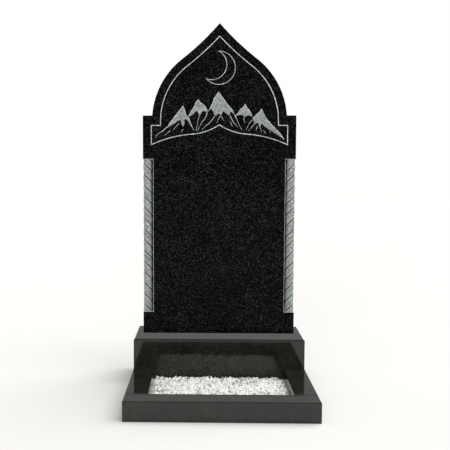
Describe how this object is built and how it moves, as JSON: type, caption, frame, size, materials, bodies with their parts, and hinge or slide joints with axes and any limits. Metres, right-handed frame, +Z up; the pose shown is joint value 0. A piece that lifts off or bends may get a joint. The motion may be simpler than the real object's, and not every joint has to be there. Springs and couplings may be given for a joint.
{
  "type": "headstone",
  "caption": "Upright granite headstone with a keel arch, twisted corner columns and shallow carving, on a plinth behind a kerbed bed of white chippings.",
  "frame": {"origin": "on the ground, under the middle of the whole work", "axes": "+Z up, the carved front faces -Y, +X runs to the right as the front is seen"},
  "size_m": [0.66, 0.63, 1.3972],
  "materials": {
    "polished_granite": "polished",
    "marble_chippings": "rough"
  },
  "bodies": {
    "root": {"stele": "polished_granite", "plinth": "polished_granite", "kerb_front": "polished_granite", "kerb_left": "polished_granite", "kerb_right": "polished_granite", "gravel_bed": "marble_chippings"}
  },
  "joints": []
}
